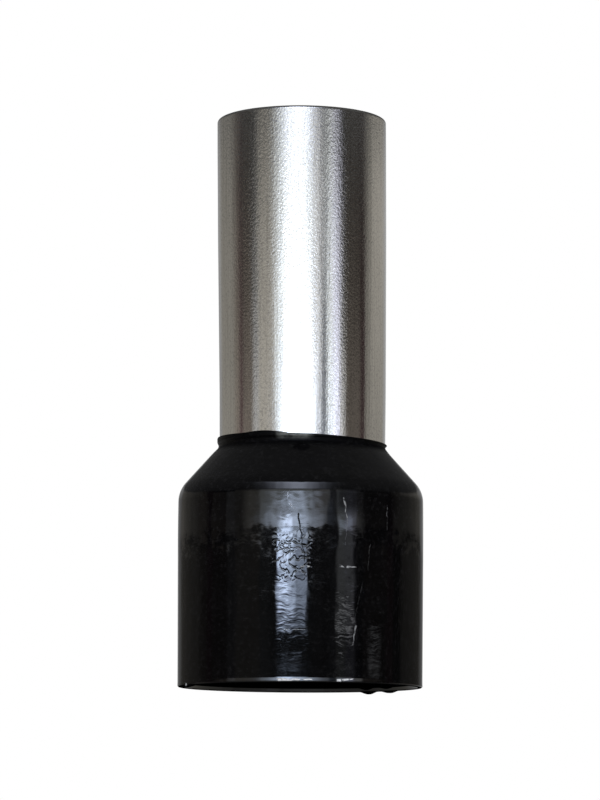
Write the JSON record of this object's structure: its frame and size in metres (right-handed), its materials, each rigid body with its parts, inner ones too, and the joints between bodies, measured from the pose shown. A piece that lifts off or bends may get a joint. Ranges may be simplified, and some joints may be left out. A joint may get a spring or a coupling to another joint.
{
  "type": "wire ferrule",
  "caption": "Insulated wire end sleeve: a bright tinned tube held in a black plastic collar that narrows to it through a cone.",
  "frame": {"origin": "centre of the collar's mouth, on the plane of its rim", "axes": "+Z along the axis from the mouth to the sleeve's free end; X and Y are free, as both pieces are turned about Z"},
  "size_m": [0.012, 0.012, 0.028],
  "materials": {
    "tinned_copper": "satin tin plating on copper, fine grained",
    "black_plastic": "glossy moulded plastic with a finely wrinkled skin"
  },
  "bodies": {
    "root": {"conductor_sleeve": "tinned_copper", "insulating_collar": "black_plastic"}
  },
  "joints": []
}
